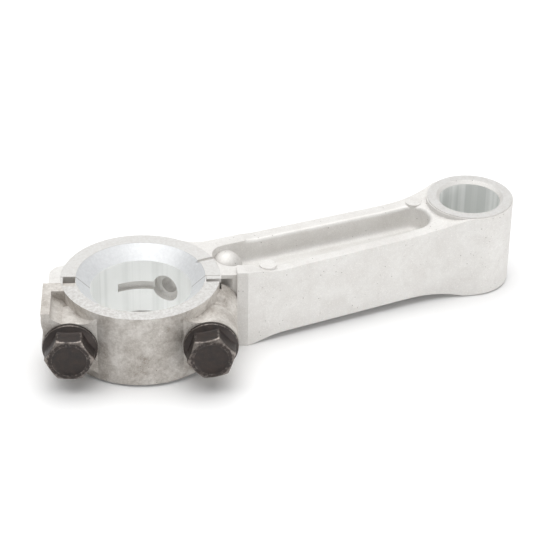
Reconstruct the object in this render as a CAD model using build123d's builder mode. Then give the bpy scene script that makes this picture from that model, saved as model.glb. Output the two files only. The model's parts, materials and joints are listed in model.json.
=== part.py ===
"""Connecting rod of a small engine with a side-split big end, two bolts and its cap.

Frame: millimetres, +Z along both bores, +X from the crankpin bore towards the wrist-pin bore.
The origin is the centre of the crankpin bore, half way through the rod's thickness.
Two split axes lie in the XY plane: u runs along the joint, from the short side to the beam side,
and v runs square to it along the bolts, from the cap into the rod.
"""

from build123d import *
from math import asin, cos, degrees, radians, sin, sqrt
import os

os.makedirs("parts", exist_ok=True)

# ---------------------------------------------------------------- driving dimensions
CENTRES = 117.5  # crankpin bore to wrist-pin bore
CRANKPIN_BORE_R = 16.0
CRANKPIN_CONE_WIDTH = 4.4  # of the lead-in cone, from the bore to its rim
CRANKPIN_CONE_DEPTH = 4.2
CRANKPIN_LOWER_CHAMFER = 1.0  # the lower face has only a small chamfer
BIG_END_LAND = 4.6  # flat ring from the cone's rim to the big end's outside
BIG_END_THICK = 24.2
SPLIT_ANGLE = 21.5  # from the rod axis to the joint, towards the cap

WRIST_BORE_R = 10.0
WRIST_CHAMFER = 1.2
SMALL_END_R = 14.5
SMALL_END_THICK = 30.2
SMALL_RING_INSET = 0.35
SMALL_END_STEP = 0.4  # height of the machined boss ring above the casting

BEAM_NEAR_ROOT = 13.9  # half width on the cap side, at the shoulder
BEAM_NEAR_TIP = 11.3  # the same, at the small end
BEAM_FAR_ROOT = 11.8  # half width on the far side
BEAM_FAR_TIP = 10.9
BEAM_TIP_BACK = 16.5  # from the wrist-pin bore to where the beam starts to widen
BEAM_SET_DOWN = 0.4  # how far the beam's faces lie below the big end's
SHOULDER_RISE = 1.6  # how far the shoulder's edge stands above them
SHOULDER_FLARE = 10.1  # length over which the shoulder thins down to the beam
SHOULDER_SLOPE = 0.12  # of the shoulder's faces where they start to thin
TIP_SLOPE = 0.3  # of the beam's faces where they meet the small end
FLANGE_WIDTH = 5.4  # at the pocket floor
WEB_THICK = 8.4
POCKET_DRAFT = 6.0
POCKET_RING_WALL = 1.2  # solid left between the big end's outside and the pocket floor
POCKET_SHOULDER_WALL = 5.6  # solid left between the joint and the pocket floor
POCKET_BOSS_WALL = 2.6  # solid left between the pocket floor and the small end's cylinder
POCKET_CORNER_R = 5.0
POCKET_FLOOR_FILLET = 2.4
SWELLING_PAST_BOLT = 5.6  # a rounded lump in the pocket, past the bolt along the joint
SWELLING_DEPTH = 15.8
SWELLING_R = 5.4
POCKET_RIM_ROUND = 1.2

BOLT_WALL = 1.75  # between the crankpin bore and a shank
BOLT_SHANK_R = 3.95
BOLT_FLANGE_R = 8.6
BOLT_FLANGE_THICK = 1.3
BOLT_CONE_HEIGHT = 1.0
BOLT_FLATS = 6
BOLT_ACROSS_FLATS = 13.4
BOLT_HEAD_HEIGHT = 8.0
BOLT_DISH_R = 5.5
BOLT_DISH_DEPTH = 0.7
BOLT_CORNER_DROP = 1.6  # how far the head's rounded top falls from the flats to the flange's radius
BOLT_LENGTH = 32.0
BOLT_TIP_CHAMFER = 0.9
BOLT_TURNS = (0.0, 12.0)  # how far each hexagon is turned about its axis

SEAT_DEPTH = 21.2  # from the joint to the face under the bolt heads
CAP_BOSS_R = 8.7
CAP_COLLAR_R = 9.8  # bolt boss beside the joint
CAP_COLLAR_DEPTH = 7.4
CAP_NECK_R = 7.3  # groove between the collar and the boss
CAP_NECK_WIDTH = 1.4
CAP_NECK_END = 4.2  # from the collar to where the boss is full again
CAP_NECK_ROUND = 1.2
CAP_WEB_ROUND = 6.0  # concave blend between a bolt boss and the ring
CAP_WEB_ANGLES = (15.0, -20.0, -54.0)  # where that blend leaves the boss, its middle, its end in the ring
CAP_SHELF_DEPTH = 8.2
CAP_RIB_WIDTH = 2.8
CAP_FOOT_ROUND = 2.4  # between that rib and the boss
CAP_RIB_DRAFT = 1.1  # how far the rib's outer face leans in by the mid plane
CAP_SHORT_PAST_BOLT = 8.7  # from the bolt to the cap's outer face, on the short side
LUG_PAST_BOLT = 7.0
LUG_STEP = 3.5  # how far the lug's outer end stands past the joint
LUG_STEP_PAST_BOLT = 2.6
LUG_DEPTH = 7.1
LUG_CORNER_R = 5.5
SHOULDER_PAST_CAP = 3.6
RIDGE_DEPTH = 3.4  # how far the shoulder's raised edge runs in from the joint
RIDGE_LENGTH = 12.1  # past the shoulder's corner
SHOULDER_STEP = 1.6
CAP_BEAM_PAST_BOLT = 8.6

ROD_BOSS_R = 8.0
ROD_BOSS_ROUND = 4.0
BEAM_BOSS_FLOOR = 2.0  # solid past the end of the beam side's hole, which is blind
BOLT_END_ROOM = 1.8  # from a shank's end to the end of its hole

OIL_ANGLE = 39.0  # from the rod axis, away from the cap
OIL_Z = -1.3
OIL_POCKET_R = 4.6
OIL_POCKET_DEPTH = 2.2
OIL_HOLE_R = 2.8
OIL_GROOVE_WIDTH = 3.0
OIL_GROOVE_DEPTH = 1.3
OIL_GROOVE_SWEEP = 58.0

NOTCH_DEPTH = 5.0
LUG_NOTCH_WIDTH = 3.8
LUG_NOTCH_REACH = 2.9
LUG_LEDGE_REACH = 5.5
LUG_LEDGE_DEPTH = 0.5
TAB_WIDTH = 4.8
TAB_PAST_RIM = 0.2
TAB_THICK = 1.3
TAB_REACH = 1.9  # how far the tab stands over the cap's notch
TAB_HOLLOW = 2.0
TAB_NOTCH_REACH = 3.6
SIDE_HOLLOW_BACK = 1.3  # from the cap's edge to the hollow's end
SIDE_HOLLOW_DEPTH = 3.0

SLOT_Y = 1.5  # short oil slot between the lead-in cone and the pocket
SLOT_WIDTH = 1.3
SLOT_DEPTH = 0.9
EJECTOR_R = 2.7
EJECTOR_NEAR_BACK = 4.6  # from the shoulder's thin end
EJECTOR_NEAR_Y = -9.9
EJECTOR_NEAR_HEIGHT = 1.1  # above the beam's flange
EJECTOR_FAR_BACK = 17.1  # from the wrist-pin bore
EJECTOR_FAR_Y = 7.4
EJECTOR_FAR_HEIGHT = 1.2

# ---------------------------------------------------------------- fits and edges
JOINT_CLEARANCE = 0.08  # sideways room between the cap and the rod's steps
THREAD_CLEARANCE = 0.05  # radial room between a shank and the rod's plain hole
BOLT_CLEARANCE = 0.35  # radial room between a shank or a flange and the cap
CAST_BLEND = 1.6  # where the rib's foot runs out into its boss
NECK_BLEND = 11.0  # between the big end's outside and the beam's far side
TIP_BLEND = 60.0  # where the beam starts to widen into the small end
THROUGH = 200.0  # longer than any cut needs
NEARLY = 0.05  # how far an edge may be from the place it is picked by

# ---------------------------------------------------------------- derived values
CRANKPIN_RIM_R = CRANKPIN_BORE_R + CRANKPIN_CONE_WIDTH
BIG_END_R = CRANKPIN_RIM_R + BIG_END_LAND
HALF_BIG = BIG_END_THICK / 2
HALF_SMALL = SMALL_END_THICK / 2
HALF_BEAM = HALF_BIG - BEAM_SET_DOWN
HALF_SHOULDER = HALF_BIG + SHOULDER_RISE
HALF_WEB = WEB_THICK / 2
HALF_SPACING = CRANKPIN_BORE_R + BOLT_WALL + BOLT_SHANK_R
LUG_REACH = HALF_SPACING + LUG_PAST_BOLT
LUG_STEP_REACH = HALF_SPACING + LUG_STEP_PAST_BOLT
CAP_SHORT_REACH = HALF_SPACING + CAP_SHORT_PAST_BOLT
CAP_BEAM_REACH = HALF_SPACING + CAP_BEAM_PAST_BOLT
SHOULDER_REACH = CAP_BEAM_REACH + SHOULDER_PAST_CAP
SHOULDER_FLARE_X = SHOULDER_REACH + SHOULDER_FLARE
RIDGE_END = SHOULDER_REACH + RIDGE_LENGTH
TAB_START = CRANKPIN_RIM_R + TAB_PAST_RIM
SIDE_HOLLOW_END = CAP_BEAM_REACH - SIDE_HOLLOW_BACK
BEAM_TIP_X = CENTRES - BEAM_TIP_BACK
POCKET_START = BIG_END_R + POCKET_RING_WALL
POCKET_END = CENTRES - SMALL_END_R - POCKET_BOSS_WALL
THREAD_DEPTH = BOLT_LENGTH - SEAT_DEPTH + BOLT_END_ROOM  # of the bolt holes, from the joint
LUG_BOSS_LENGTH = THREAD_DEPTH  # the short side's hole runs right through its boss
BEAM_BOSS_LENGTH = THREAD_DEPTH + BEAM_BOSS_FLOOR
SPLIT = radians(SPLIT_ANGLE)
OIL = radians(OIL_ANGLE)
U_AXIS = Vector(cos(SPLIT), -sin(SPLIT), 0)
V_AXIS = Vector(sin(SPLIT), cos(SPLIT), 0)
SPLIT_PLAN = Plane(origin=(0, 0, 0), x_dir=U_AXIS, z_dir=(0, 0, 1))
CAP_FACE = Plane(origin=(0, 0, 0), x_dir=U_AXIS, z_dir=-V_AXIS)  # local x is u, local y is Z
BOLT_SIDES = (-HALF_SPACING, HALF_SPACING)
BOLT_NAMES = ("short_side_cap_bolt", "beam_side_cap_bolt")


def place(u, v):
    """A point given along the joint and along the bolts, as a point of the XY plane."""
    return tuple(U_AXIS * u + V_AXIS * v)[:2]


def bolt_plane(u):
    """A plane through one bolt's axis: local x is the distance from it, local y runs out of the cap."""
    return Plane(origin=U_AXIS * u, x_dir=(0, 0, 1), z_dir=U_AXIS)


def bolt_axis(u):
    """The axis of one bolt, pointing out of the cap."""
    return Axis(U_AXIS * u, -V_AXIS)


# ---------------------------------------------------------------- shared tools, each made once
with BuildPart() as cap_side:  # everything on the cap's side of the stepped joint
    with BuildSketch(SPLIT_PLAN.offset(-THROUGH / 2)):
        with BuildLine():
            Polyline(
                (-THROUGH, -LUG_STEP),
                (-LUG_STEP_REACH, -LUG_STEP),
                (-LUG_STEP_REACH, 0),
                (CAP_BEAM_REACH, 0),
                (CAP_BEAM_REACH, -THROUGH),
                (-THROUGH, -THROUGH),
                close=True,
            )
        make_face()
    extrude(amount=THROUGH)

with BuildPart() as rod_side:  # everything on the rod's side, less the sideways clearance
    with BuildSketch(SPLIT_PLAN.offset(-THROUGH / 2)):
        with BuildLine():
            Polyline(
                (-THROUGH, -LUG_STEP),
                (-LUG_STEP_REACH - JOINT_CLEARANCE, -LUG_STEP),
                (-LUG_STEP_REACH - JOINT_CLEARANCE, 0),
                (CAP_BEAM_REACH + JOINT_CLEARANCE, 0),
                (CAP_BEAM_REACH + JOINT_CLEARANCE, -SHOULDER_STEP),
                (THROUGH, -SHOULDER_STEP),
                (THROUGH, THROUGH),
                (-THROUGH, THROUGH),
                close=True,
            )
        make_face()
    extrude(amount=THROUGH)

with BuildPart() as crankpin_space:  # the big bore, its lead-in cone above and its chamfer below
    with BuildSketch(Plane.XZ):
        with BuildLine():
            Polyline(
                (0, -THROUGH / 2),
                (CRANKPIN_BORE_R + CRANKPIN_LOWER_CHAMFER, -THROUGH / 2),
                (CRANKPIN_BORE_R + CRANKPIN_LOWER_CHAMFER, -HALF_BIG),
                (CRANKPIN_BORE_R, CRANKPIN_LOWER_CHAMFER - HALF_BIG),
                (CRANKPIN_BORE_R, HALF_BIG - CRANKPIN_CONE_DEPTH),
                (CRANKPIN_RIM_R, HALF_BIG),
                (CRANKPIN_RIM_R, THROUGH / 2),
                (0, THROUGH / 2),
                close=True,
            )
        make_face()
    revolve(axis=Axis.Z)


# ---------------------------------------------------------------- rod
SHOULDER_CORNER = place(SHOULDER_REACH, -SHOULDER_STEP)
POCKET_CORNER_Y = (POCKET_SHOULDER_WALL - POCKET_START * sin(SPLIT)) / cos(SPLIT)
EJECTOR_NEAR = (SHOULDER_FLARE_X - EJECTOR_NEAR_BACK, EJECTOR_NEAR_Y)
EJECTOR_FAR = (CENTRES - EJECTOR_FAR_BACK, EJECTOR_FAR_Y)
SWELLING = place(HALF_SPACING + SWELLING_PAST_BOLT, SWELLING_DEPTH)
NECK_CENTRE = Vector(
    sqrt((BIG_END_R + NECK_BLEND) ** 2 - (BEAM_FAR_ROOT + NECK_BLEND) ** 2),
    BEAM_FAR_ROOT + NECK_BLEND,
)
NECK_ON_RING = NECK_CENTRE.normalized() * BIG_END_R
NECK_ON_BEAM = NECK_CENTRE - Vector(0, NECK_BLEND)
NECK_MIDDLE = NECK_CENTRE + ((NECK_ON_RING + NECK_ON_BEAM) / 2 - NECK_CENTRE).normalized() * NECK_BLEND


def tangent_point(y):
    """Where a wall from the beam's end at that y touches the small end's cylinder."""
    start = Vector(BEAM_TIP_X, y)
    to_centre = Vector(CENTRES, 0) - start
    turn = degrees(asin(SMALL_END_R / to_centre.length))
    reach = sqrt(to_centre.length**2 - SMALL_END_R**2)
    along = to_centre.normalized().rotate(Axis.Z, turn if y > 0 else -turn)
    return start + along * reach


def is_on_pocket_rim(point):
    """Whether an edge's middle is on a pocket's rim, past the shoulder and inside the flanges."""
    between = FLANGE_WIDTH / 2 - BEAM_NEAR_TIP < point.Y < BEAM_FAR_TIP - FLANGE_WIDTH / 2
    along = (SHOULDER_REACH + SHOULDER_FLARE_X) / 2 < point.X < POCKET_END + POCKET_BOSS_WALL / 2
    return between and along and HALF_BEAM - NEARLY < abs(point.Z) < HALF_SMALL


NEAR_ON_SMALL_END = tangent_point(-BEAM_NEAR_TIP)
FAR_ON_SMALL_END = tangent_point(BEAM_FAR_TIP)

with BuildPart() as beam_profile:  # side view of the beam, used to trim its thickness
    with BuildSketch(Plane.XZ.offset(-THROUGH / 2)):
        with BuildLine():
            Polyline((0, 0), (0, HALF_SHOULDER), (SHOULDER_CORNER[0], HALF_SHOULDER))
            Spline(
                (SHOULDER_CORNER[0], HALF_SHOULDER),
                (SHOULDER_FLARE_X, HALF_BEAM),
                tangents=((1, -SHOULDER_SLOPE), (1, 0)),
            )
            Line((SHOULDER_FLARE_X, HALF_BEAM), (CENTRES - 2 * SMALL_END_R, HALF_BEAM))
            Spline(
                (CENTRES - 2 * SMALL_END_R, HALF_BEAM),
                (CENTRES - SMALL_END_R / 2, HALF_SMALL - SMALL_END_STEP),
                tangents=((1, 0), (1, TIP_SLOPE)),
            )
            Polyline(
                (CENTRES - SMALL_END_R / 2, HALF_SMALL - SMALL_END_STEP),
                (CENTRES, HALF_SMALL - SMALL_END_STEP),
                (CENTRES, 0),
            )
            mirror(about=Plane.XZ)
        make_face()
    extrude(amount=THROUGH)

with BuildPart() as rod:
    # beam and shoulder: their plan, raised to full height and trimmed to the side view
    with BuildSketch(Plane.XY.offset(-THROUGH / 2)):
        with BuildLine():
            Polyline(
                SHOULDER_CORNER,
                (BEAM_TIP_X, -BEAM_NEAR_TIP),
                NEAR_ON_SMALL_END,
                (CENTRES, 0),
                FAR_ON_SMALL_END,
                (BEAM_TIP_X, BEAM_FAR_TIP),
                NECK_ON_BEAM,
            )
            ThreePointArc(NECK_ON_BEAM, NECK_MIDDLE, NECK_ON_RING)
            Polyline(NECK_ON_RING, (0, 0), place(CAP_BEAM_REACH, -SHOULDER_STEP), SHOULDER_CORNER)
        face = make_face()
        tips = face.vertices().filter_by(lambda p: abs(p.X - BEAM_TIP_X) < NEARLY)
        fillet(tips, radius=TIP_BLEND)
    extrude(amount=THROUGH)
    add(beam_profile.part, mode=Mode.INTERSECT)

    # big-end faces, which leave only the shoulder's edge by the cap standing above them
    for face_sign in (1, -1):
        with BuildSketch(SPLIT_PLAN.offset(face_sign * HALF_BIG)):
            with BuildLine():
                Polyline(
                    (CAP_BEAM_REACH, -THROUGH / 2),
                    (CAP_BEAM_REACH, RIDGE_DEPTH),
                    (RIDGE_END, RIDGE_DEPTH),
                    (RIDGE_END, THROUGH / 2),
                    (-THROUGH / 2, THROUGH / 2),
                    (-THROUGH / 2, -THROUGH / 2),
                    close=True,
                )
            make_face()
        extrude(amount=face_sign * THROUGH, mode=Mode.SUBTRACT)
    with BuildSketch(Plane.XY.offset(-HALF_BIG)):
        Circle(BIG_END_R)
    extrude(amount=BIG_END_THICK)

    # lug on the short side
    with BuildSketch(SPLIT_PLAN.offset(-HALF_BIG)):
        with BuildLine():
            Polyline(
                (-LUG_REACH, -LUG_STEP),
                (-LUG_REACH, LUG_DEPTH),
                (-CRANKPIN_RIM_R, LUG_DEPTH),
                (-CRANKPIN_RIM_R, -LUG_STEP),
                close=True,
            )
        lug = make_face()
        corner = lug.vertices().sort_by(lambda p: p.Y - p.X)[-1]
        fillet(corner, radius=LUG_CORNER_R)
    extrude(amount=BIG_END_THICK)

    # small end and its raised rings
    with BuildSketch(Plane.XY.offset(-HALF_SMALL + SMALL_END_STEP)):
        with Locations((CENTRES, 0)):
            Circle(SMALL_END_R)
    extrude(amount=SMALL_END_THICK - 2 * SMALL_END_STEP)

    # pockets on both faces
    for face_sign in (1, -1):
        with BuildSketch(Plane.XY.offset(face_sign * HALF_WEB)):
            with BuildLine():
                Polyline(
                    (POCKET_START, BEAM_FAR_ROOT - FLANGE_WIDTH),
                    (POCKET_START, POCKET_CORNER_Y),
                    (SHOULDER_FLARE_X, FLANGE_WIDTH - BEAM_NEAR_ROOT),
                    (POCKET_END, FLANGE_WIDTH - BEAM_NEAR_TIP),
                    (POCKET_END, BEAM_FAR_TIP - FLANGE_WIDTH),
                    close=True,
                )
            pocket = make_face()
            fillet(pocket.vertices(), radius=POCKET_CORNER_R)
        extrude(amount=face_sign * HALF_SMALL, taper=-POCKET_DRAFT, mode=Mode.SUBTRACT)
    rim_edges = edges().filter_by(lambda e: is_on_pocket_rim(e.center()))
    fillet(rim_edges, radius=POCKET_RIM_ROUND)
    floor_edges = edges().filter_by(lambda e: abs(abs(e.center().Z) - HALF_WEB) < NEARLY)
    fillet(floor_edges, radius=POCKET_FLOOR_FILLET)

    # rounded lumps in the pockets' ends
    for face_sign in (1, -1):
        with Locations((*SWELLING, face_sign * SWELLING_R)):
            Sphere(SWELLING_R)

    # raised rings of the small end
    with BuildSketch(Plane.XY.offset(-HALF_SMALL)):
        with Locations((CENTRES, 0)):
            Circle(SMALL_END_R - SMALL_RING_INSET)
    extrude(amount=SMALL_END_THICK)

    # bolt bosses, each with a rounded end
    for u, length in ((-HALF_SPACING, LUG_BOSS_LENGTH), (HALF_SPACING, BEAM_BOSS_LENGTH)):
        with BuildSketch(bolt_plane(u)):
            with BuildLine():
                Polyline((0, 0), (ROD_BOSS_R, 0), (ROD_BOSS_R, ROD_BOSS_ROUND - length))
                RadiusArc(
                    (ROD_BOSS_R, ROD_BOSS_ROUND - length),
                    (ROD_BOSS_R - ROD_BOSS_ROUND, -length),
                    ROD_BOSS_ROUND,
                )
                Polyline((ROD_BOSS_R - ROD_BOSS_ROUND, -length), (0, -length), (0, 0))
            make_face()
        revolve(axis=bolt_axis(u))

    # bores
    add(crankpin_space.part, mode=Mode.SUBTRACT)
    with Locations((CENTRES, 0, 0)):
        Cylinder(WRIST_BORE_R, THROUGH, mode=Mode.SUBTRACT)
    wrist_rims = edges().filter_by(GeomType.CIRCLE).filter_by(
        lambda e: abs(e.radius - WRIST_BORE_R) < NEARLY and abs(e.center().Z) > HALF_BEAM
    )
    chamfer(wrist_rims, length=WRIST_CHAMFER)

    # plain holes for the bolt shanks
    for u in BOLT_SIDES:
        with BuildSketch(CAP_FACE.offset(-THREAD_DEPTH)):
            with Locations((u, 0)):
                Circle(BOLT_SHANK_R + THREAD_CLEARANCE)
        extrude(amount=THREAD_DEPTH + SEAT_DEPTH, mode=Mode.SUBTRACT)

    # oil pocket, the hole through its floor and the groove round the bore wall
    oil_wall = Plane(origin=(0, 0, OIL_Z), z_dir=(cos(OIL), sin(OIL), 0))
    with BuildSketch(oil_wall):
        Circle(OIL_HOLE_R)
    extrude(amount=THROUGH, mode=Mode.SUBTRACT)
    with BuildSketch(oil_wall):
        Circle(OIL_POCKET_R)
    extrude(amount=CRANKPIN_BORE_R + OIL_POCKET_DEPTH, mode=Mode.SUBTRACT)
    groove_start = Plane(
        origin=(0, 0, 0),
        x_dir=(cos(OIL), sin(OIL), 0),
        z_dir=(sin(OIL), -cos(OIL), 0),
    )
    with BuildSketch(groove_start):
        with Locations((CRANKPIN_BORE_R, OIL_Z)):
            Rectangle(2 * OIL_GROOVE_DEPTH, OIL_GROOVE_WIDTH)
    revolve(axis=Axis.Z, revolution_arc=OIL_GROOVE_SWEEP, mode=Mode.SUBTRACT)

    # oil slot from the lead-in cone to the pocket
    with BuildSketch(Plane.XY.offset(HALF_BIG - SLOT_DEPTH)):
        with Locations(((CRANKPIN_BORE_R + POCKET_START) / 2, SLOT_Y)):
            Rectangle(POCKET_START - CRANKPIN_BORE_R, SLOT_WIDTH)
    extrude(amount=THROUGH, mode=Mode.SUBTRACT)

    # raised ejector marks on the beam's flanges
    for spot, height in ((EJECTOR_NEAR, EJECTOR_NEAR_HEIGHT), (EJECTOR_FAR, EJECTOR_FAR_HEIGHT)):
        with BuildSketch(Plane.XY.offset(HALF_WEB)):
            with Locations(spot):
                Circle(EJECTOR_R)
        extrude(amount=HALF_BEAM + height - HALF_WEB)

    # hollows behind the joint, beside the bolts
    for face_sign in (1, -1):
        with BuildSketch(SPLIT_PLAN.offset(face_sign * (HALF_BIG - TAB_THICK))):
            with Locations((TAB_START + TAB_WIDTH / 2, 0)):
                Rectangle(TAB_WIDTH, 2 * TAB_HOLLOW)
        extrude(amount=-face_sign * NOTCH_DEPTH, mode=Mode.SUBTRACT)
        with BuildSketch(SPLIT_PLAN.offset(face_sign * (HALF_BIG - NOTCH_DEPTH))):
            with BuildLine():
                Polyline(
                    (TAB_START + TAB_WIDTH, 0),
                    (SIDE_HOLLOW_END, 0),
                    (TAB_START + TAB_WIDTH, SIDE_HOLLOW_DEPTH),
                    close=True,
                )
            make_face()
        extrude(amount=face_sign * (NOTCH_DEPTH - TAB_THICK), mode=Mode.SUBTRACT)

    add(rod_side.part, mode=Mode.INTERSECT)

    # tabs that reach over the cap's notches
    for face_sign in (1, -1):
        with BuildSketch(SPLIT_PLAN.offset(face_sign * HALF_BIG)):
            with Locations((TAB_START + TAB_WIDTH / 2, 0)):
                Rectangle(TAB_WIDTH - 2 * JOINT_CLEARANCE, 2 * TAB_REACH)
        extrude(amount=-face_sign * TAB_THICK)

rod.part.label = "connecting_rod_body"
export_step(rod.part, "parts/connecting_rod_body.step")


# ---------------------------------------------------------------- cap
def is_in_neck(corner):
    """Whether a corner of a boss's half section belongs to the groove behind its collar."""
    return CAP_COLLAR_DEPTH - NEARLY < corner.Y < SEAT_DEPTH - NEARLY


def web_point(side, angle):
    """A point of the blend between a boss and the ring, its angle counted from straight down."""
    lean = radians(CAP_WEB_ANGLES[0])
    centre_x = HALF_SPACING - (CAP_BOSS_R + CAP_WEB_ROUND) * sin(lean)
    centre_y = (CAP_BOSS_R + CAP_WEB_ROUND) * cos(lean)
    turn = radians(angle)
    return side * (centre_x + CAP_WEB_ROUND * sin(turn)), centre_y - CAP_WEB_ROUND * cos(turn)


with BuildPart() as cap:
    # bolt bosses, turned about the bolt axes: collar, neck and boss
    for u in BOLT_SIDES:
        with BuildSketch(bolt_plane(u)):
            with BuildLine():
                Polyline(
                    (0, -CAP_NECK_WIDTH),
                    (CAP_COLLAR_R, -CAP_NECK_WIDTH),
                    (CAP_COLLAR_R, CAP_COLLAR_DEPTH),
                    (CAP_NECK_R, CAP_COLLAR_DEPTH + CAP_NECK_WIDTH),
                    (CAP_BOSS_R, CAP_COLLAR_DEPTH + CAP_NECK_END),
                    (CAP_BOSS_R, SEAT_DEPTH),
                    (0, SEAT_DEPTH),
                    close=True,
                )
            boss = make_face()
            neck = boss.vertices().filter_by(is_in_neck)
            fillet(neck, radius=CAP_NECK_ROUND)
        revolve(axis=bolt_axis(u))

    # concave webs that blend each boss into the ring
    for side in (-1, 1):
        start, middle, end = (web_point(side, angle) for angle in CAP_WEB_ANGLES)
        with BuildSketch(CAP_FACE):
            with BuildLine():
                Polyline((side * HALF_SPACING, 0), start)
                ThreePointArc(start, middle, end)
                Polyline(end, (end[0], 0), (side * HALF_SPACING, 0))
            make_face()
            mirror(about=Plane.XZ)
        extrude(amount=SEAT_DEPTH)

    # foot that ties the short-side boss to its rib
    with BuildSketch(CAP_FACE):
        with BuildLine():
            Polyline(
                (CAP_RIB_DRAFT - CAP_SHORT_REACH, 0),
                (CAP_RIB_WIDTH - CAP_SHORT_REACH, CAST_BLEND - CAP_BOSS_R),
                (-HALF_SPACING, CAST_BLEND - CAP_BOSS_R),
                (-HALF_SPACING, CAP_BOSS_R - CAST_BLEND),
                (CAP_RIB_WIDTH - CAP_SHORT_REACH, CAP_BOSS_R + CAST_BLEND),
                (CAP_RIB_WIDTH - CAP_SHORT_REACH, HALF_BIG),
                (-CAP_SHORT_REACH, HALF_BIG),
                close=True,
            )
        foot = make_face()
        hollow = foot.vertices().filter_by(lambda p: abs(p.Y - CAP_BOSS_R - CAST_BLEND) < NEARLY)
        fillet(hollow, radius=CAP_FOOT_ROUND)
    extrude(amount=SEAT_DEPTH)

    # shelf beside the joint on the short side
    with BuildSketch(SPLIT_PLAN.offset(-HALF_BIG)):
        with Locations((-CAP_SHORT_REACH / 2, -CAP_SHELF_DEPTH / 2)):
            Rectangle(CAP_SHORT_REACH, CAP_SHELF_DEPTH)
    extrude(amount=BIG_END_THICK)

    # ring
    Cylinder(BIG_END_R, BIG_END_THICK)
    add(crankpin_space.part, mode=Mode.SUBTRACT)

    # clearance holes for the bolts, and the spot faces under their heads
    for u in BOLT_SIDES:
        with BuildSketch(CAP_FACE):
            with Locations((u, 0)):
                Circle(BOLT_SHANK_R + BOLT_CLEARANCE)
        extrude(amount=THROUGH, mode=Mode.SUBTRACT)
        with BuildSketch(CAP_FACE.offset(SEAT_DEPTH)):
            with Locations((u, 0)):
                Circle(BOLT_FLANGE_R + BOLT_CLEARANCE)
        extrude(amount=THROUGH, mode=Mode.SUBTRACT)

    # notches at the joint, above and below each bolt
    for face_sign in (1, -1):
        notch_floor = SPLIT_PLAN.offset(face_sign * (HALF_BIG - NOTCH_DEPTH))
        with BuildSketch(notch_floor):
            with Locations((-CRANKPIN_RIM_R - LUG_NOTCH_WIDTH / 2, 0)):
                Rectangle(LUG_NOTCH_WIDTH, 2 * LUG_NOTCH_REACH)
            with Locations((TAB_START + TAB_WIDTH / 2, 0)):
                Rectangle(TAB_WIDTH, 2 * TAB_NOTCH_REACH)
        extrude(amount=face_sign * THROUGH, mode=Mode.SUBTRACT)
        with BuildSketch(SPLIT_PLAN.offset(face_sign * (HALF_BIG - LUG_LEDGE_DEPTH))):
            with Locations((-CRANKPIN_RIM_R - LUG_NOTCH_WIDTH / 2, 0)):
                Rectangle(LUG_NOTCH_WIDTH, 2 * LUG_LEDGE_REACH)
        extrude(amount=face_sign * THROUGH, mode=Mode.SUBTRACT)

    add(cap_side.part, mode=Mode.INTERSECT)

cap.part.label = "rod_cap"
export_step(cap.part, "parts/rod_cap.step")


# ---------------------------------------------------------------- bolts
def cap_bolt(u, turn):
    """One flange bolt: hexagon with a dished top, coned flange, plain shank."""
    head = CAP_FACE.offset(SEAT_DEPTH)
    with BuildPart() as bolt:
        with BuildSketch(head):
            with Locations((u, 0)):
                RegularPolygon(BOLT_ACROSS_FLATS / 2, BOLT_FLATS, major_radius=False, rotation=turn)
        extrude(amount=BOLT_HEAD_HEIGHT)
        with BuildSketch(bolt_plane(u)):
            with BuildLine():
                Polyline(
                    (0, -BOLT_LENGTH),
                    (BOLT_FLANGE_R, -BOLT_LENGTH),
                    (BOLT_FLANGE_R, SEAT_DEPTH + BOLT_HEAD_HEIGHT - BOLT_CORNER_DROP),
                    (BOLT_ACROSS_FLATS / 2, SEAT_DEPTH + BOLT_HEAD_HEIGHT),
                    (BOLT_DISH_R, SEAT_DEPTH + BOLT_HEAD_HEIGHT),
                    (BOLT_DISH_R - BOLT_DISH_DEPTH, SEAT_DEPTH + BOLT_HEAD_HEIGHT - BOLT_DISH_DEPTH),
                    (0, SEAT_DEPTH + BOLT_HEAD_HEIGHT - BOLT_DISH_DEPTH),
                    close=True,
                )
            make_face()
        revolve(axis=bolt_axis(u), mode=Mode.INTERSECT)
        with BuildSketch(bolt_plane(u)):
            with BuildLine():
                Polyline(
                    (0, SEAT_DEPTH + BOLT_FLANGE_THICK + BOLT_CONE_HEIGHT),
                    (BOLT_ACROSS_FLATS / 2, SEAT_DEPTH + BOLT_FLANGE_THICK + BOLT_CONE_HEIGHT),
                    (BOLT_FLANGE_R, SEAT_DEPTH + BOLT_FLANGE_THICK),
                    (BOLT_FLANGE_R, SEAT_DEPTH),
                    (BOLT_SHANK_R, SEAT_DEPTH),
                    (BOLT_SHANK_R, SEAT_DEPTH - BOLT_LENGTH + BOLT_TIP_CHAMFER),
                    (BOLT_SHANK_R - BOLT_TIP_CHAMFER, SEAT_DEPTH - BOLT_LENGTH),
                    (0, SEAT_DEPTH - BOLT_LENGTH),
                    close=True,
                )
            make_face()
        revolve(axis=bolt_axis(u))
    return bolt.part


for name, u, turn in zip(BOLT_NAMES, BOLT_SIDES, BOLT_TURNS):
    piece = cap_bolt(u, turn)
    piece.label = name
    export_step(piece, f"parts/{name}.step")
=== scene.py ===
import json
import logging
from collections.abc import Mapping
from dataclasses import dataclass, field
from enum import Enum

import bpy
import numpy as np
from mathutils import Matrix, Vector


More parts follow.
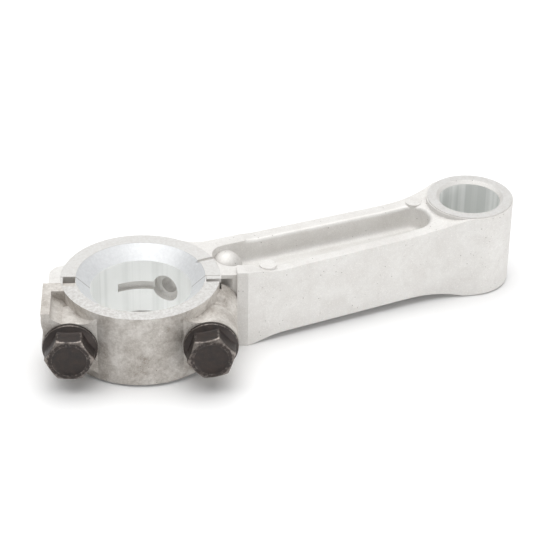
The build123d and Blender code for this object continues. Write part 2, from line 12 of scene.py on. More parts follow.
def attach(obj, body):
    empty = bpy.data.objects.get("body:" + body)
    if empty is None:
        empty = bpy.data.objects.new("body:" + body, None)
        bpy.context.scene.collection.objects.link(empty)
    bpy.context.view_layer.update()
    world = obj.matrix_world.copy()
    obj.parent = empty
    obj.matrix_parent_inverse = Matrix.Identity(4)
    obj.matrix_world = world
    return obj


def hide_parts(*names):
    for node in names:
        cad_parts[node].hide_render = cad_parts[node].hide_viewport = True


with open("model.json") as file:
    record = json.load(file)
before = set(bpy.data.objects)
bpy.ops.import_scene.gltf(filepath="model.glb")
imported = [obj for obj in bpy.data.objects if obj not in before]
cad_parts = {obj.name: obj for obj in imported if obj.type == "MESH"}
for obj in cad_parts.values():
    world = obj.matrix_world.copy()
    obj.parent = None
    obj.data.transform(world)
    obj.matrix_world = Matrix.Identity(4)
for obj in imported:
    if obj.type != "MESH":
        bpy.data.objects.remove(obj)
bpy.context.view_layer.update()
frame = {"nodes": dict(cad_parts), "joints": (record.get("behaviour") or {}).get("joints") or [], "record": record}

log = logging.getLogger("connecting_rod")
MM = 0.001
WEAR = "edge_wear"  # a mesh attribute, 0 where the finish is whole and 1 where it has gone
NodeInput = object  # a number, a colour, a vector, a socket or a Channel


def mount(name: str) -> Mapping[str, object]:
    """Finds one mount of the record.

    Args:
        name: The mount's name.

    Returns:
        The mount.
    """
    return next(row for row in frame["record"]["mounts"] if row["name"] == name)


# ---------------------------------------------------------------- places and sizes, in millimetres
WRIST_X = mount("wrist_pin_bore")["pos_m"][0] / MM
CRANK_R = mount("crankpin_bore")["dims"]["r_mm"]
WRIST_R = mount("wrist_pin_bore")["dims"]["r_mm"]
SMALL_FACE = mount("small_end_upper_face")["pos_m"][2] / MM
BIG_FACE = mount("big_end_upper_face")["pos_m"][2] / MM
BIG_RING_R = 25.05  # outer edge of the machined ring round the crankpin bore
CONE_R = 20.35  # rim of the crankpin bore's lead-in cone
CONE_DEPTH = 4.3
EDGE_SOFTNESS = 0.06  # width over which one finish gives way to the next
EDGE_SLACK = 0.05  # how far a finish reaches past the surface that it is for
BIG_FACE_SLACK = 0.03
SEAM_HALF_WIDTH = 0.14  # of the line where the castings meet
SEAM_SOFTNESS = 0.12
PITS_PER_MM = 0.62
OUT_AXIS = np.array(frame["joints"][0]["axis"], dtype=float)  # along the bolts, out of the cap
UP_AXIS = np.array((0.0, 0.0, 1.0))
JOINT_AXIS = np.cross(UP_AXIS, OUT_AXIS)  # along the joint, towards the beam


# ---------------------------------------------------------------- shader maths
class Channel:
    """A value socket of a node tree, on which plain arithmetic adds Math nodes."""

    def __init__(self, graph: "Graph", socket: bpy.types.NodeSocket) -> None:
        """Wraps one output socket.

        Args:
            graph: The graph that new Math nodes go into.
            socket: The output socket to wrap.
        """
        self.graph = graph
        self.socket = socket

    def _math(self, operation: str, *values: NodeInput, clamp: bool = False) -> "Channel":
        """Adds one Math node.

        Args:
            operation: The node's operation.
            values: Its inputs, in order.
            clamp: Whether the result is kept between 0 and 1.

        Returns:
            The node's result.
        """
        settings = {"operation": operation, "use_clamp": clamp}
        return self.graph.value("ShaderNodeMath", settings, dict(enumerate(values)))

    def __add__(self, other: NodeInput) -> "Channel":
        """Returns self + other."""
        return self._math("ADD", self, other)

    __radd__ = __add__

    def __mul__(self, other: NodeInput) -> "Channel":
        """Returns self * other."""
        return self._math("MULTIPLY", self, other)

    __rmul__ = __mul__

    def __sub__(self, other: NodeInput) -> "Channel":
        """Returns self - other."""
        return self._math("SUBTRACT", self, other)

    def __rsub__(self, other: NodeInput) -> "Channel":
        """Returns other - self."""
        return self._math("SUBTRACT", other, self)

    def __truediv__(self, other: NodeInput) -> "Channel":
        """Returns self / other."""
        return self._math("DIVIDE", self, other)

    def __pow__(self, other: NodeInput) -> "Channel":
        """Returns self to the power of other."""
        return self._math("POWER", self, other)

    def __abs__(self) -> "Channel":
        """Returns the size of self without its sign."""
        return self._math("ABSOLUTE", self)

    def above(self, edge: float, width: float) -> "Channel":
        """A soft step from 0 to 1.

        Args:
            edge: The value at the middle of the step.
            width: How wide the step is.

        Returns:
            0 well below the edge, 1 well above it, straight between.
        """
        return (self - (edge - width / 2))._math_clamped(1 / width)

    def below(self, edge: float, width: float) -> "Channel":
        """A soft step from 1 to 0.

        Args:
            edge: The value at the middle of the step.
            width: How wide the step is.

        Returns:
            1 well below the edge, 0 well above it, straight between.
        """
        return 1 - self.above(edge, width)

    def _math_clamped(self, gain: float) -> "Channel":
        """Multiplies and keeps the result in bounds.

        Args:
            gain: The factor.

        Returns:
            Self times the factor, kept between 0 and 1.
        """
        return self._math("MULTIPLY", self, gain, clamp=True)

    def larger(self, other: NodeInput) -> "Channel":
        """Picks the larger of two values.

        Args:
            other: The value to compare with.

        Returns:
            The larger of self and the other.
        """
        return self._math("MAXIMUM", self, other)


@dataclass(frozen=True)
class Clouds:
    """Settings of one cloudy noise.

    Attributes:
        scale: Features per millimetre.
        detail: How many finer layers are added.
        rough: How strong the finer layers are.
        distortion: How far the pattern is swirled.
    """

    scale: float
    detail: float = 4.0
    rough: float = 0.55
    distortion: float = 0.0


BLOTCH = Clouds(0.13, 5.0, 0.62, 0.4)
SPECK = Clouds(0.9, 5.0, 0.7)
GRAIN = Clouds(2.6, 3.0, 0.65)
PIT_PATCH = Clouds(0.11, 2.0)  # where the pits gather
TURNING = Clouds(1.0, 2.0, 0.5)
HONING = Clouds(1.0, 3.0, 0.6)
SMEAR = Clouds(0.25, 3.0)
BLOOM = Clouds(0.45, 4.0, 0.6)
FINE = Clouds(4.0, 3.0, 0.6)
SCUFF = Clouds(1.1, 3.0, 0.55)
MOTTLE = Clouds(0.02, 2.0)


class Graph:
    """The node tree of one material."""

    def __init__(self, name: str) -> None:
        """Makes a material with an empty node tree.

        Args:
            name: The material's name.
        """
        self.material = bpy.data.materials.new(name)
        self.material.use_nodes = True
        self.tree = self.material.node_tree
        self.tree.nodes.clear()

    def node(
        self, kind: str, settings: Mapping[str, object], inputs: Mapping[object, NodeInput]
    ) -> bpy.types.Node:
        """Adds any node.

        Args:
            kind: The node's type.
            settings: Its properties, set first.
            inputs: Values or links by socket name or number.

        Returns:
            The new node.
        """
        made = self.tree.nodes.new(kind)
        for key, setting in settings.items():
            setattr(made, key, setting)
        for key, value in inputs.items():
            socket = made.inputs[key]
            if isinstance(value, Channel):
                self.tree.links.new(value.socket, socket)
            elif isinstance(value, bpy.types.NodeSocket):
                self.tree.links.new(value, socket)
            else:
                socket.default_value = value
        return made

    def value(
        self,
        kind: str,
        settings: Mapping[str, object],
        inputs: Mapping[object, NodeInput],
        output: int | str = 0,
    ) -> Channel:
        """Adds any node and returns one output.

        Args:
            kind: The node's type.
            settings: Its properties.
            inputs: Values or links by socket name or number.
            output: The output's name or number.

        Returns:
            That output as a Channel.
        """
        return Channel(self, self.node(kind, settings, inputs).outputs[output])

    def place(self) -> bpy.types.NodeSocket:
        """Returns the surface point's place on the object, in millimetres."""
        where = self.node("ShaderNodeTexCoord", {}, {}).outputs["Object"]
        scaled = self.node("ShaderNodeVectorMath", {"operation": "SCALE"}, {0: where, "Scale": 1 / MM})
        return scaled.outputs[0]

    def parts_of(self, vector: bpy.types.NodeSocket) -> tuple[Channel, Channel, Channel]:
        """Takes a vector apart.

        Args:
            vector: The vector.

        Returns:
            Its three numbers.
        """
        split = self.node("ShaderNodeSeparateXYZ", {}, {0: vector})
        return tuple(Channel(self, socket) for socket in split.outputs)

    def joined(self, x: NodeInput, y: NodeInput, z: NodeInput) -> bpy.types.NodeSocket:
        """Joins three numbers into a vector.

        Args:
            x: The first number.
            y: The second number.
            z: The third number.

        Returns:
            The vector.
        """
        return self.node("ShaderNodeCombineXYZ", {}, {0: x, 1: y, 2: z}).outputs[0]

    def along(self, vector: bpy.types.NodeSocket, axis: np.ndarray) -> Channel:
        """Measures along an axis through the origin.

        Args:
            vector: The point.
            axis: The axis, of unit length.

        Returns:
            How far the point lies along it.
        """
        inputs = {0: vector, 1: tuple(axis)}
        return self.value("ShaderNodeVectorMath", {"operation": "DOT_PRODUCT"}, inputs, "Value")

    def noise(self, vector: bpy.types.NodeSocket, clouds: Clouds) -> Channel:
        """Cloudy noise.

        Args:
            vector: The point, in millimetres.
            clouds: The pattern's settings.

        Returns:
            A value around 0.5.
        """
        inputs = {
            "Vector": vector,
            "Scale": clouds.scale,
            "Detail": clouds.detail,
            "Roughness": clouds.rough,
            "Distortion": clouds.distortion,
        }
        return self.value("ShaderNodeTexNoise", {}, inputs, "Fac")

    def cells(self, vector: bpy.types.NodeSocket, scale: float) -> Channel:
        """Scatters points.

        Args:
            vector: The point, in millimetres.
            scale: Scattered points per millimetre.

        Returns:
            The distance to the nearest scattered point.
        """
        inputs = {"Vector": vector, "Scale": scale, "Randomness": 1.0}
        return self.value("ShaderNodeTexVoronoi", {"feature": "F1"}, inputs, "Distance")

    def mix(self, factor: NodeInput, first: NodeInput, second: NodeInput) -> bpy.types.NodeSocket:
        """Mixes two colours.

        Args:
            factor: 0 for the first colour, 1 for the second.
            first: The first colour.
            second: The second colour.

        Returns:
            The colour between them.
        """
        made = self.node("ShaderNodeMix", {"data_type": "RGBA"}, {0: factor})
        for number, colour in ((6, first), (7, second)):
            if isinstance(colour, bpy.types.NodeSocket):
                self.tree.links.new(colour, made.inputs[number])
            else:
                made.inputs[number].default_value = (*colour, 1.0)
        return made.outputs[2]

    def blend(self, factor: NodeInput, first: NodeInput, second: NodeInput) -> Channel:
        """Mixes two numbers.

        Args:
            factor: 0 for the first number, 1 for the second.
            first: The first number.
            second: The second number.

        Returns:
            The number between them.
        """
        settings = {"data_type": "FLOAT"}
        return self.value("ShaderNodeMix", settings, {0: factor, 2: first, 3: second})

    def finish(self, bump: Channel, bump_depth: float, **sockets: NodeInput) -> bpy.types.Material:
        """Adds the shader and the output.

        Args:
            bump: The surface's height, in units of bump_depth.
            bump_depth: The height of one unit, in metres.
            sockets: The shader's inputs, by name with underscores for spaces.

        Returns:
            The finished material.
        """
        relief = {"Strength": 1.0, "Distance": bump_depth, "Height": bump}
        normal = self.node("ShaderNodeBump", {}, relief)
        inputs = {name.replace("_", " "): value for name, value in sockets.items()}
        inputs["Normal"] = normal.outputs[0]
        shader = self.node("ShaderNodeBsdfPrincipled", {}, inputs)
        self.node("ShaderNodeOutputMaterial", {}, {"Surface": shader.outputs[0]})
        return self.material


# ---------------------------------------------------------------- finishes
def shaded(colour: tuple[float, ...], factor: float) -> tuple[float, ...]:
    """Makes a colour lighter or darker.

    Args:
        colour: The colour.
        factor: How much brighter it gets, darker below 1.

    Returns:
        The new colour, with nothing above 1.
    """
    return tuple(min(1.0, part * factor) for part in colour)


class Casting(Enum):
    """The two castings, which left their dies with different skins; the cap's darker, browner skin is partly
    painted shade.
    """

    ROD = "connecting_rod_body"
    CAP = "rod_cap"


@dataclass(frozen=True)
class CastAluminium:
    """Die-cast aluminium with machined faces and bored holes, told apart by place.

    Attributes:
        casting: Which casting it is for.
        skin: Colour of the cast skin.
        stain_and_shade: Colour of the darker blotches in the skin.
        machined: Colour of the cut faces.
        cone: Colour of the crankpin bore's lead-in cone.
        bore: Colour of the bored walls.
        bore_reflection_dark: Colour of the painted reflections, dark streaks down the bored walls.
        seam: Colour of the line between the castings, and of pits in the cut faces.
        pit: Colour of the pits in the skin.
        stain_and_shade_amount: How much of the skin is stained, on the cap partly with painted shade.
        grain: Height of the skin's grain, in metres.
    """

    casting: Casting
    skin: tuple[float, float, float] = (0.74, 0.73, 0.71)
    stain_and_shade: tuple[float, float, float] = (0.53, 0.50, 0.47)
    machined: tuple[float, float, float] = (0.72, 0.715, 0.70)
    cone: tuple[float, float, float] = (0.74, 0.75, 0.76)
    bore: tuple[float, float, float] = (0.96, 0.97, 0.955)
    bore_reflection_dark: tuple[float, float, float] = (0.60, 0.62, 0.60)
    seam: tuple[float, float, float] = (0.20, 0.17, 0.14)
    pit: tuple[float, float, float] = (0.10, 0.085, 0.07)
    stain_and_shade_amount: float = 0.35
    grain: float = 0.00012

    def build(self) -> bpy.types.Material:
        """Makes the material.

        The masks are bands of distance from each bore's axis and of height above the mid plane.

        Returns:
            The material.
        """
        g = Graph(f"cast_aluminium_{self.casting.name.lower()}")
        point = g.place()
        x, y, z = g.parts_of(point)
        height = abs(z)
        big_r = (x * x + y * y) ** 0.5
        from_wrist = x - WRIST_X
        small_r = (from_wrist * from_wrist + y * y) ** 0.5
        soft = EDGE_SOFTNESS

        big_bore = big_r.below(CRANK_R + EDGE_SLACK, soft)
        small_bore = small_r.below(WRIST_R + EDGE_SLACK, soft)
        bores = big_bore.larger(small_bore)
        big_face = height.above(BIG_FACE - BIG_FACE_SLACK, soft) * big_r.below(BIG_RING_R, soft)
        small_face = height.above(SMALL_FACE - EDGE_SLACK, soft)
        faces = big_face.larger(small_face)
        near_cone = z.above(BIG_FACE - CONE_DEPTH, soft) * big_r.below(CONE_R, soft)
        in_cone = near_cone * (1 - big_bore) * (1 - faces)
        cut = bores.larger(faces).larger(in_cone)

        # cast skin: blotches, on the cap partly painted shade, fine grain and scattered pits
        blotch = g.noise(point, BLOTCH)
        speck = g.noise(point, SPECK)
        grain = g.noise(point, GRAIN)
        pitted = g.noise(point, PIT_PATCH).above(0.52, 0.1)
        pits = g.cells(point, PITS_PER_MM).below(0.085, 0.05) * pitted
        stained_and_shaded = (blotch.above(0.52, 0.3) * 0.8 + speck.above(0.54, 0.4) * 0.6) * self.stain_and_shade_amount
        skin = g.mix(stained_and_shaded, self.skin, self.stain_and_shade)
        skin = g.mix(grain.above(0.62, 0.2) * 0.35, skin, shaded(self.skin, 1.35))
        skin = g.mix(pits * 0.85, skin, self.pit)

        # machined faces: fine turning marks round the nearer bore
        turned = g.blend(x.above(WRIST_X / 2, 1.0), big_r, small_r)
        marks = g.noise(g.joined(turned * 6.0, 0.0, z * 0.4), TURNING)
        face_colour = g.mix(marks * 0.4, self.machined, shaded(self.machined, 0.86))
        face_colour = g.mix(speck.above(0.52, 0.3) * 0.45, face_colour, self.stain_and_shade)
        face_colour = g.mix(pits * 0.5, face_colour, self.seam)

        # bored walls: fine rings, and painted reflections as dark streaks along the bore
        rings = g.noise(g.joined(0.0, 0.0, z * 7.0), HONING)
        smear = g.noise(point, SMEAR)
        round_wrist = g.joined(from_wrist / small_r * 2.6, y / small_r * 2.6, 0.0)
        round_crank = g.joined(x / big_r * 3.4, y / big_r * 3.4, 4.0)
        reflection_streak = g.noise(round_wrist, TURNING).above(0.5, 0.12) * small_bore
        reflection_streak = reflection_streak + g.noise(round_crank, HONING).above(0.56, 0.14) * big_bore * 0.45
        # near-white bored metal, its brightness partly painted reflection
        bore_colour = g.mix(smear * 0.3, self.bore, shaded(self.bore, 0.85))
        bore_colour = g.mix(reflection_streak * 0.6, bore_colour, self.bore_reflection_dark)

        colour = g.mix(faces, skin, face_colour)
        cone_colour = g.mix(speck.above(0.5, 0.3) * 0.5, self.cone, shaded(self.cone, 0.82))
        colour = g.mix(in_cone, colour, cone_colour)
        colour = g.mix(bores, colour, bore_colour)

        # the line where rod and cap meet, seen on the cut surfaces
        past_joint = abs(g.along(point, OUT_AXIS))
        near_joint = past_joint.below(SEAM_HALF_WIDTH, SEAM_SOFTNESS)
        seam = near_joint * cut * big_r.below(BIG_RING_R, soft)
        colour = g.mix(seam * 0.75, colour, self.seam)

        cut_rough = g.blend(bores, 0.38 + marks * 0.12, 0.26 + rings * 0.14)
        rough = g.blend(cut, 0.52 + grain * 0.12, cut_rough)
        metal = g.blend(cut, 0.45, g.blend(bores, 0.5, 0.12))
        skin_height = grain * 0.55 + speck * 0.6 + blotch * 0.8 - pits * 1.6
        cut_height = g.blend(bores, marks * 0.12, rings * 0.10)
        bump = g.blend(cut, skin_height, cut_height)
        return g.finish(bump, self.grain, Base_Color=colour, Roughness=rough, Metallic=metal)


@dataclass(frozen=True)
class BlackOxide:
    """Black oxide over steel, worn bright where the mesh's wear attribute says.

    Attributes:
        oxide: Colour of the finish.
        rust: Colour of its brown bloom.
        bright: Colour of the bare steel at worn edges.
        grain: Height of the finish's grain, in metres.
    """

    oxide: tuple[float, float, float] = (0.030, 0.026, 0.025)
    rust: tuple[float, float, float] = (0.060, 0.043, 0.036)
    bright: tuple[float, float, float] = (0.36, 0.32, 0.29)
    grain: float = 0.00006

    def build(self) -> bpy.types.Material:
        """Returns the material."""
        g = Graph("black_oxide_steel")
        point = g.place()
        wear = g.value("ShaderNodeAttribute", {"attribute_name": WEAR}, {}, "Fac")
        bloom = g.noise(point, BLOOM)
        fine = g.noise(point, FINE)
        scuff = g.noise(point, SCUFF)
        worn = (wear * 1.1 + scuff * 0.9 - 1.02).above(0.0, 0.4) * 0.7
        colour = g.mix(bloom.above(0.5, 0.4) * 0.7, self.oxide, self.rust)
        colour = g.mix(fine.above(0.66, 0.1) * 0.12, colour, self.bright)
        colour = g.mix(worn, colour, self.bright)
        rough = g.blend(worn, 0.36 + bloom * 0.22, 0.3)
        height = fine * 0.6 + scuff * 0.6
        metal = g.blend(worn, 0.55, 0.95)
        return g.finish(height, self.grain, Base_Color=colour, Roughness=rough, Metallic=metal)


@dataclass(frozen=True)
class PaleFloor:
    """The plain pale surface that the rod lies on.

    Attributes:
        colour: The surface's colour.
    """

    colour: tuple[float, float, float] = (0.93, 0.93, 0.93)

    def build(self) -> bpy.types.Material:
        """Returns the material."""
        g = Graph("pale_floor")
        mottle = g.noise(g.place(), MOTTLE)
        colour = g.mix(mottle * 0.1, self.colour, shaded(self.colour, 0.98))
        return g.finish(mottle, 0.0, Base_Color=colour, Roughness=0.5, Metallic=0.0)


# ---------------------------------------------------------------- surfaces
def grid_piece(
    name: str, points: np.ndarray, wear: np.ndarray, material: bpy.types.Material
) -> bpy.types.Object:
    """Makes a mesh of a grid that is closed round its columns and capped at both ends.

    Rows run from the first pole to the last. Each quad joins neighbouring rows and columns, and each
    end row is joined to one more point at its middle.

    Args:
        name: The piece's name.
        points: Rows by columns by 3, in metres.
        wear: Rows by columns, how worn each point is.
        material: The piece's finish.

    Returns:
        The new object.
    """
    rows, columns, _ = points.shape
    poles = np.stack([points[0].mean(axis=0), points[-1].mean(axis=0)])
    verts = np.concatenate([points.reshape(-1, 3), poles])
    at = np.arange(rows * columns).reshape(rows, columns)
    nxt = np.roll(at, -1, axis=1)
    quads = np.stack([at[:-1], nxt[:-1], nxt[1:], at[1:]], axis=-1).reshape(-1, 4)
    first = np.stack([np.full(columns, rows * columns), nxt[0], at[0]], axis=-1)
    last = np.stack([at[-1], nxt[-1], np.full(columns, rows * columns + 1)], axis=-1)
    mesh = bpy.data.meshes.new(name)
    mesh.from_pydata(verts.tolist(), [], quads.tolist() + first.tolist() + last.tolist())
    mesh.validate()
    worn = mesh.attributes.new(WEAR, "FLOAT", "POINT")
    worn.data.foreach_set("value", np.concatenate([wear.ravel(), [wear[0].mean(), wear[-1].mean()]]))
    mesh.polygons.foreach_set("use_smooth", np.ones(len(mesh.polygons), dtype=bool))
    mesh.materials.append(material)
    mesh.update()
    made = bpy.data.objects.new(name, mesh)
    bpy.context.scene.collection.objects.link(made)
    return made


SIXTH_TURN = 60.0  # degrees from one flat of a hexagon to the next
BEVEL_ANGLE = 30.0
CORNER_EXCESS = 0.155  # how much farther a hexagon's corner is than its flat, as a share
THREAD_SHARE = 0.61  # depth of a thread as a share of its pitch
ROWS_PER_PITCH = 9
DISH_ROWS = (0.6, 2.0, 3.4, 4.4, 4.9, 5.2)  # distances from the axis
FLAT_ROWS = (0.2, 0.5, 0.8)  # shares of the way down a flat
CORNER_CROWDING = 2.2  # how much closer the angles are at a corner


@dataclass
class FlangeBolt:
    """A hexagon flange bolt, its sizes in millimetres.

    Attributes:
        node: The CAD node that it stands for.
        body: The body that it rides on.
        turn: How far the hexagon is turned, in degrees.
        across_flats: The hexagon's width.
        head: Height of the head over the flange's seat.
        flange_r: Radius of the flange.
        flange: Thickness of the flange's rim.
        shank_r: Outer radius of the thread.
        pitch: Thread pitch.
        dish_r: Radius of the dish in the head.
        dish: Depth of the dish.
        corner: Rounding radius of the hexagon's corners.
        seat_gap: Height of the flange's underside over its seat.
        soft_inset: How far the top of the bevel is drawn in from the flats.
        rim_inset: From the flats to the head's flat rim.
        cone_rise: How far the flange's cone rises to the hexagon.
        plain_share: Share of the shank that has no thread.
        last_step: From the last row of the thread to the tip.
        tip_length: Length of the chamfer at the tip.
        tip_drop: How far the chamfer narrows the tip.
        tip_inset: From the thread to the edge of the tip's flat end.
        columns_per_side: Angles along each side of the hexagon.
    """

    node: str
    body: str
    turn: float
    across_flats: float = 13.4
    head: float = 8.0
    flange_r: float = 8.6
    flange: float = 1.3
    shank_r: float = 3.95
    pitch: float = 1.25
    dish_r: float = 5.4
    dish: float = 0.75
    corner: float = 0.35
    seat_gap: float = 0.03
    soft_inset: float = 0.12
    rim_inset: float = 0.25
    cone_rise: float = 1.2
    plain_share: float = 0.28
    last_step: float = 0.2
    tip_length: float = 1.1
    tip_drop: float = 0.9
    tip_inset: float = 1.3
    columns_per_side: int = 14

    def angles(self) -> np.ndarray:
        """Angles round the bolt, closer together at the hexagon's corners."""
        side = np.radians(SIXTH_TURN)
        step = np.linspace(-1.0, 1.0, self.columns_per_side, endpoint=False)
        across = np.sign(step) * (1 - (1 - abs(step)) ** CORNER_CROWDING) * side / 2
        return (across[None, :] + side * np.arange(6)[:, None]).ravel()

    def hexagon(self, angle: np.ndarray, inset: float = 0.0) -> np.ndarray:
        """Distance from the axis to a hexagon with rounded corners.

        On a flat the distance is the half width over the cosine of the angle from the flat's middle;
        near a corner it is where the ray meets a circle of the corner radius.

        Args:
            angle: Angles round the axis, with a flat's middle at 0.
            inset: How far the outline is drawn in.

        Returns:
            The distances.
        """
        half = self.across_flats / 2 - inset
        half_side = np.radians(SIXTH_TURN / 2)
        off = abs((angle + half_side) % (2 * half_side) - half_side)
        flat = half / np.cos(off)
        centre = (half - self.corner) / np.cos(half_side)
        away = half_side - off
        root = np.sqrt(np.maximum(self.corner**2 - (centre * np.sin(away)) ** 2, 0.0))
        rounded = centre * np.cos(away) + root
        on_flat = half * np.tan(off) <= (half - self.corner) * np.tan(half_side)
        return np.where(on_flat, flat, rounded)

    def outline(self, angle: np.ndarray, length: float) -> tuple[np.ndarray, np.ndarray, np.ndarray]:
        """The bolt's surface, row by row from the middle of the dish to the tip.

        Each row is a distance from the axis and a height for every angle. The head's bevel is a cone
        that meets each flat in an arc, and the flange is a shallow cone that meets it in another. The
        thread is a wave along the axis that moves on by one pitch for each turn.

        Args:
            angle: Angles round the bolt.
            length: Length under the head.

        Returns:
            Distance, height and wear, rows by angles.
        """
        hexagon = self.hexagon(angle)
        soft = self.hexagon(angle, self.soft_inset)
        rim = self.across_flats / 2 - self.rim_inset
        bevel = np.tan(np.radians(BEVEL_ANGLE))
        shoulder = self.head - (hexagon - rim) * bevel
        cone = self.cone_rise / (self.flange_r - rim)
        foot = self.flange + (self.flange_r - hexagon) * cone
        corner = (hexagon / hexagon.min() - 1.0) / CORNER_EXCESS
        edge = self.flange_r - 0.22
        middle = (hexagon + edge) / 2

        # each row is a distance, a height and a wear, stepped by a few tenths round the edges
        rows = [(r, self.head - self.dish * (1 - (r / self.dish_r) ** 6), 0.0) for r in DISH_ROWS]
        rows += [
            (self.dish_r, self.head - 0.02, 0.45),
            (self.dish_r + 0.15, self.head, 0.3),
            (rim - 0.12, self.head, 0.35),
            (rim, self.head - 0.03, 0.5),
            (soft, shoulder + self.soft_inset * bevel + 0.02, 0.5 + corner * 0.25),
            (hexagon, shoulder - 0.14, 0.45 + corner * 0.35),
        ]
        rows += [(hexagon, shoulder + (foot - shoulder) * share, corner * 0.45) for share in FLAT_ROWS]
        rows += [
            (hexagon, foot + 0.22, corner * 0.3),
            (hexagon + 0.06, foot + 0.07, 0.1),
            (hexagon + 0.25, foot - 0.02, 0.0),
            (middle, self.flange + (self.flange_r - middle) * cone, 0.0),
            (edge, self.flange + 0.04, 0.3),
            (self.flange_r - 0.05, self.flange - 0.12, 0.55),
            (self.flange_r, self.flange - 0.3, 0.35),
            (self.flange_r, 0.25, 0.2),
            (self.flange_r - 0.15, 0.08, 0.2),
            (self.flange_r - 0.5, self.seat_gap, 0.1),
            (self.shank_r + 0.02, self.seat_gap, 0.0),
        ]
        reach, height, wear = (
            [np.stack([np.broadcast_to(np.asarray(row[part], dtype=float), angle.shape) for row in rows])]
            for part in range(3)
        )

        # the thread starts below a plain stretch and runs out at the tip
        plain = length * self.plain_share
        steps = np.arange(0.0, length - self.last_step, self.pitch / ROWS_PER_PITCH)[:, None]
        starting = np.clip((steps - plain) / self.pitch, 0.0, 1.0)
        ending = np.clip((length - steps) / self.pitch, 0.35, 1.0)
        fade = starting * ending
        turn = (steps / self.pitch - angle[None, :] / (2 * np.pi)) % 1.0
        wave = np.clip(abs(turn - 0.5) * 2.6 - 0.25, 0.0, 1.0)
        depth = THREAD_SHARE * self.pitch * fade
        tip = np.clip((steps - (length - self.tip_length)) / self.tip_length, 0.0, 1.0)
        thread_r = self.shank_r - depth * (1 - wave) - tip * self.tip_drop
        reach.append(thread_r)
        height.append(np.broadcast_to(-steps, thread_r.shape))
        wear.append(wave * 0.35 * (fade > 0.05))

        one = np.ones((1, len(angle)))
        reach.append(one * (self.shank_r - self.tip_inset))
        height.append(one * -length)
        wear.append(one * 0.2)
        return np.concatenate(reach), np.concatenate(height), np.concatenate(wear)

    def build(self, material: bpy.types.Material) -> bpy.types.Object:
        """Makes the bolt where its CAD node is.

        Args:
            material: The bolt's finish.

        Returns:
            The new object.
        """
        mesh = frame["nodes"][self.node].data
        flat = np.empty(len(mesh.vertices) * 3)
        mesh.vertices.foreach_get("co", flat)
        cad = flat.reshape(-1, 3) / MM
        out = cad @ OUT_AXIS
        side = cad @ JOINT_AXIS
        middle = (side.min() + side.max()) / 2
        seat = out.max() - self.head
        length = seat - out.min()
        angle = self.angles()
        reach, height, wear = self.outline(angle, length)
        spun = angle + np.radians(self.turn + SIXTH_TURN / 2)
        local = (
            (reach * np.cos(spun) + middle)[..., None] * JOINT_AXIS
            + (reach * np.sin(spun))[..., None] * UP_AXIS
            + (height + seat)[..., None] * OUT_AXIS
        )
        made = grid_piece(f"{self.node}_forged", local * MM, wear, material)
        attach(made, self.body)
        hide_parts(self.node)
        return made


@dataclass
class Castings:
    """The rod and its cap, whose shapes are the CAD's.

    Attributes:
        finishes: One finish for each casting.
    """

    finishes: tuple[CastAluminium, ...] = (
        CastAluminium(Casting.ROD),
        # painted shade: the cap's skin and stain are darker and browner than the rod's, partly its own tone and
        # partly standing in for shade
        CastAluminium(
            Casting.CAP,
            skin=(0.66, 0.635, 0.60),
            stain_and_shade=(0.30, 0.265, 0.23),
            stain_and_shade_amount=0.8,
        ),
    )

    def dress(self) -> None:
        """Puts each casting's finish on its node."""
        for finish in self.finishes:
            node = frame["nodes"][finish.casting.value]
            node.data.materials.clear()
            node.data.materials.append(finish.build())
            log.info("dressed %s", node.name)


@dataclass
class CapBolts:
    """Both bolts that hold the cap.

    Attributes:
        bolts: The bolts, each with its node, its body and its turn.
    """

    bolts: tuple[FlangeBolt, ...] = (
        FlangeBolt("short_side_cap_bolt", "short_side_bolt", 0.0),
        FlangeBolt("beam_side_cap_bolt", "beam_side_bolt", 12.0),
    )

    def build(self) -> None:
        """Makes the bolts with one shared finish."""
        finish = BlackOxide().build()
        for bolt in self.bolts:
            made = bolt.build(finish)
            log.info("made %s with %d faces", made.name, len(made.data.polygons))


# ---------------------------------------------------------------- studio
@dataclass
class Softbox:
    """One soft light.

    Attributes:
        name: The light's name.
        place: Where it stands, in metres.
        aim: What it points at, in metres.
        size: Its width and height, in metres.
        power: Its power, in watts.
    """

    name: str
    place: tuple[float, float, float]
    aim: tuple[float, float, float]
    size: tuple[float, float]
    power: float

    def build(self) -> None:
        """Adds the light to the scene."""
        lamp = bpy.data.lights.new(self.name, "AREA")
        lamp.shape = "RECTANGLE"
        lamp.size, lamp.size_y = self.size
        lamp.energy = self.power
        made = bpy.data.objects.new(self.name, lamp)
        bpy.context.scene.collection.objects.link(made)
        made.location = self.place
        direction = Vector(self.aim) - Vector(self.place)
        made.rotation_euler = direction.to_track_quat("-Z", "Y").to_euler()


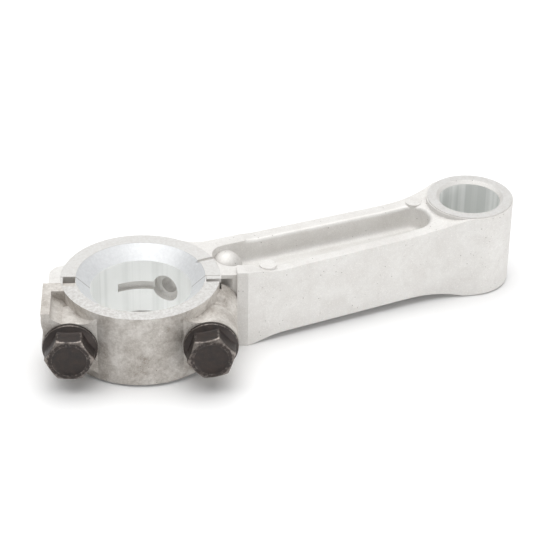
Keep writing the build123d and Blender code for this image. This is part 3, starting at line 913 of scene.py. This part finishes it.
@dataclass
class Studio:
    """Floor, backdrop light and camera, in metres.

    Attributes:
        eye: The camera's place.
        ahead: The camera's viewing direction.
        right: The direction across the picture.
        lens: Focal length in millimetres on the sensor's width.
        sensor: Sensor width in millimetres.
        rest_points: Two heights of the rod's underside, as (x, z), that the floor touches.
        floor_size: Side of the floor.
        boxes: The soft lights.
    """

    eye: tuple[float, float, float] = (-0.19118, -0.51498, 0.35760)
    ahead: tuple[float, float, float] = (0.353152, 0.770987, -0.529965)
    right: tuple[float, float, float] = (0.912947, -0.407799, 0.015098)
    lens: float = 137.4
    sensor: float = 36.0
    rest_points: tuple[tuple[float, float], ...] = ((0.0305, -0.0137), (0.1100, -0.0151))
    floor_size: float = 6.0
    boxes: tuple[Softbox, ...] = field(default_factory=lambda: (
        Softbox("overhead", (0.0, 0.08, 0.85), (0.04, 0.0, 0.0), (1.3, 1.0), 9.4),
        Softbox("low_front", (0.55, -0.70, 0.10), (0.07, 0.0, 0.0), (0.8, 0.25), 1.9),
    ))

    def floor(self) -> None:
        """Lays the floor as a plane through the rod's two lowest edges, which tilts it slightly."""
        (x0, z0), (x1, z1) = self.rest_points
        slope = (z1 - z0) / (x1 - x0)
        reach = np.array((-1.0, 1.0)) * self.floor_size / 2
        xs, ys = np.meshgrid(reach, reach)
        zs = z0 + (xs - x0) * slope
        corners = np.stack([xs, ys, zs], axis=-1).reshape(-1, 3)
        mesh = bpy.data.meshes.new("floor")
        mesh.from_pydata(corners.tolist(), [], [(0, 1, 3, 2)])
        mesh.materials.append(PaleFloor().build())
        made = bpy.data.objects.new("floor", mesh)
        bpy.context.scene.collection.objects.link(made)

    def daylight(self, strength: float = 0.5) -> None:
        """Fills the surroundings with even white light.

        Args:
            strength: The light's strength.
        """
        world = bpy.data.worlds.new("studio_daylight")
        bpy.context.scene.world = world
        world.use_nodes = True
        background = world.node_tree.nodes["Background"]
        background.inputs["Color"].default_value = (1.0, 1.0, 1.0, 1.0)
        background.inputs["Strength"].default_value = strength

    def camera(self) -> None:
        """Adds the camera and makes it the scene's."""
        data = bpy.data.cameras.new("camera")
        data.sensor_width = self.sensor
        data.lens = self.lens
        data.clip_end = 20.0
        made = bpy.data.objects.new("camera", data)
        bpy.context.scene.collection.objects.link(made)
        back = -Vector(self.ahead).normalized()
        right = Vector(self.right).normalized()
        up = back.cross(right)
        turn = Matrix((right, up, back)).transposed().to_4x4()
        made.matrix_world = Matrix.Translation(self.eye) @ turn
        bpy.context.scene.camera = made

    def build(self) -> None:
        """Adds everything round the object."""
        self.floor()
        self.daylight()
        for box in self.boxes:
            box.build()
        self.camera()
        bpy.context.scene.view_settings.view_transform = "Standard"
        log.info("studio ready")


def main() -> None:
    """Builds the scene in order."""
    logging.basicConfig(level=logging.INFO, format="%(name)s: %(message)s")
    Castings().dress()
    CapBolts().build()
    Studio().build()


if __name__ == "__main__":
    main()
